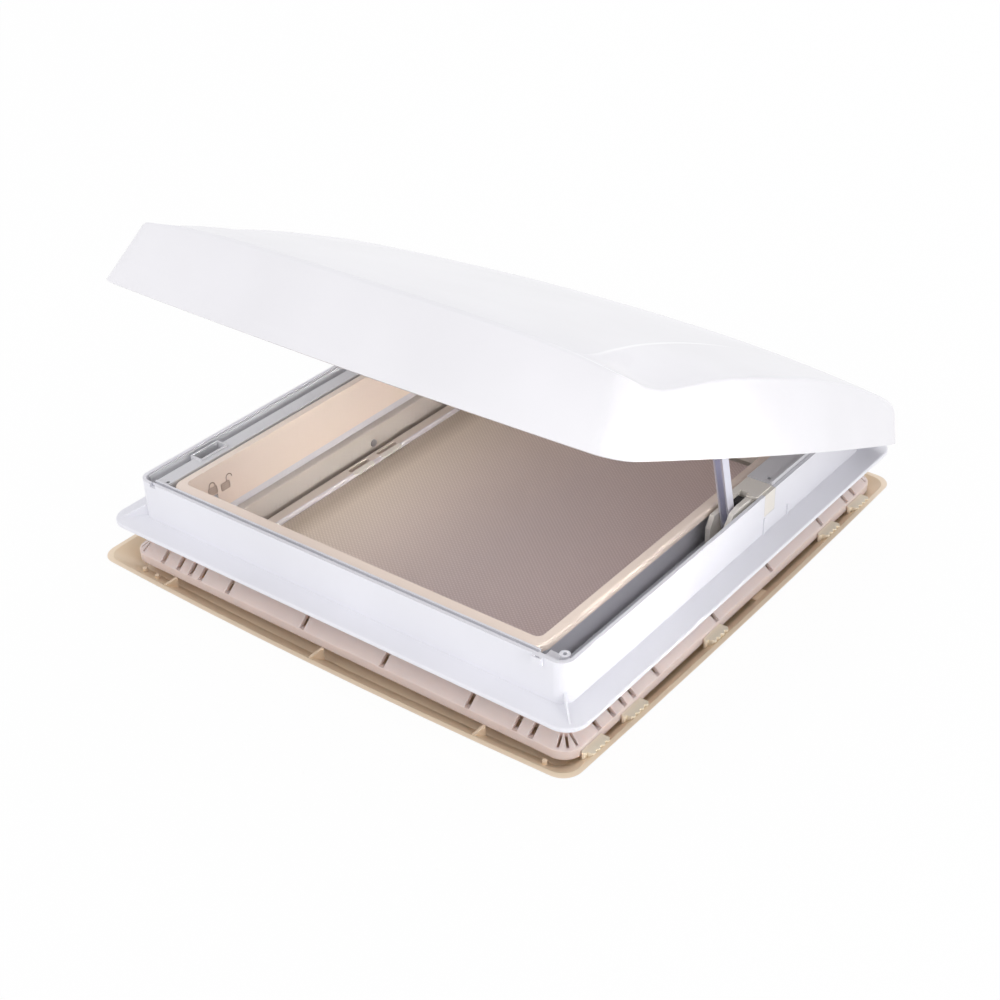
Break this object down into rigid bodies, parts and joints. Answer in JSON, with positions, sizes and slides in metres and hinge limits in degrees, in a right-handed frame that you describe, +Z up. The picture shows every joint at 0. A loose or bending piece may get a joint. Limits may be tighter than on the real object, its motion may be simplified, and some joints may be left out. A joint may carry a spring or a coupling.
{
  "type": "caravan roof vent",
  "caption": "Square pop-up roof vent with a domed lid on a rear hinge, one channel stay, a roof flange and collar, an inner duct, a fly net and a blind, a clamp ring and a ceiling trim.",
  "frame": {"origin": "centre of the roof cut-out, on the underside of the roof flange", "axes": "+X to the right along the front edge, +Y to the hinge side, +Z up and out of the roof"},
  "size_m": [0.508, 0.49, 0.3036],
  "materials": {
    "white_shell": "satin",
    "grey_rail": "satin",
    "beige_duct": "satin",
    "rose_ring": "satin",
    "tan_trim": "satin",
    "cream_clip": "satin",
    "cream_bracket": "satin",
    "stay_aluminium": "brushed",
    "pin_steel": "plated",
    "black_button": "matt",
    "seal_rubber": "matt",
    "net_cloth": "woven",
    "blind_cloth": "coated",
    "screen_plastic": "satin"
  },
  "bodies": {
    "frame": {"outer_frame": "white_shell", "roof_seal": "seal_rubber", "inner_duct": "beige_duct", "left_rail": "grey_rail", "right_rail": "grey_rail", "front_gutter": "grey_rail", "rear_gutter": "grey_rail", "corner_block": "white_shell", "stay_bracket": "cream_bracket", "stay_pin": "pin_steel", "net_housing": "screen_plastic", "blind_housing": "screen_plastic", "front_track": "screen_plastic", "rear_track": "screen_plastic", "fly_net": "net_cloth", "blind_cloth": "blind_cloth", "housing_screws": "pin_steel", "clamp_ring": "rose_ring", "clamp_screws": "pin_steel", "ceiling_trim": "tan_trim", "trim_clips": "cream_clip", "hinge_pins": "pin_steel"},
    "lid": {"lid_shell": "white_shell", "lid_seal": "seal_rubber", "lid_liner": "white_shell", "stay_track": "grey_rail", "lock_striker": "grey_rail", "left_hinge_arm": "white_shell", "right_hinge_arm": "white_shell"},
    "stay": {"stay": "stay_aluminium", "stay_stud": "black_button"},
    "net_pull": {"net_bar": "beige_duct"},
    "blind_pull": {"blind_bar": "screen_plastic"},
    "net_roll": {"net_roller": "screen_plastic"},
    "blind_roll": {"blind_roller": "screen_plastic"},
    "lock": {"lock_slide": "grey_rail"},
    "button": {"release_button": "black_button"}
  },
  "joints": [
    {"name": "lid_hinge", "type": "hinge", "parent": "frame", "child": "lid", "pos_m": [0, 0.22, 0.008], "axis": [-1, 0, 0], "range_deg": [-24.25, 3.75]},
    {"name": "stay_hinge", "type": "hinge", "parent": "frame", "child": "stay", "pos_m": [0.199, 0.023, 0.02], "axis": [-1, 0, 0], "range_deg": [-66, 11]},
    {"name": "net_slide", "type": "slide", "parent": "frame", "child": "net_pull", "axis": [1, 0, 0], "range_m": [0, 0.31], "deforming": ["fly_net"]},
    {"name": "blind_slide", "type": "slide", "parent": "frame", "child": "blind_pull", "axis": [1, 0, 0], "range_m": [0, 0.31], "deforming": ["blind_cloth"]},
    {"name": "net_roller_spin", "type": "hinge", "parent": "frame", "child": "net_roll", "pos_m": [0.182, 0, -0.0242], "axis": [0, 1, 0], "range_deg": [-2550, 5]},
    {"name": "blind_roller_spin", "type": "hinge", "parent": "frame", "child": "blind_roll", "pos_m": [-0.182, 0, -0.0342], "axis": [0, 1, 0], "range_deg": [-2550, 5]},
    {"name": "lid_lock_slide", "type": "slide", "parent": "frame", "child": "lock", "axis": [0, -1, 0], "range_m": [0, 0.014]},
    {"name": "release_button_push", "type": "slide", "parent": "frame", "child": "button", "axis": [0, 1, 0], "range_m": [0, 0.004], "stiffness_N_per_m": 300}
  ],
  "couplings": [
    {"joint": "stay_hinge", "follows": "lid_hinge", "ratio": 2.7},
    {"joint": "net_roller_spin", "follows": "net_slide", "rad_per_m": -142.86},
    {"joint": "blind_roller_spin", "follows": "blind_slide", "rad_per_m": -142.86}
  ]
}
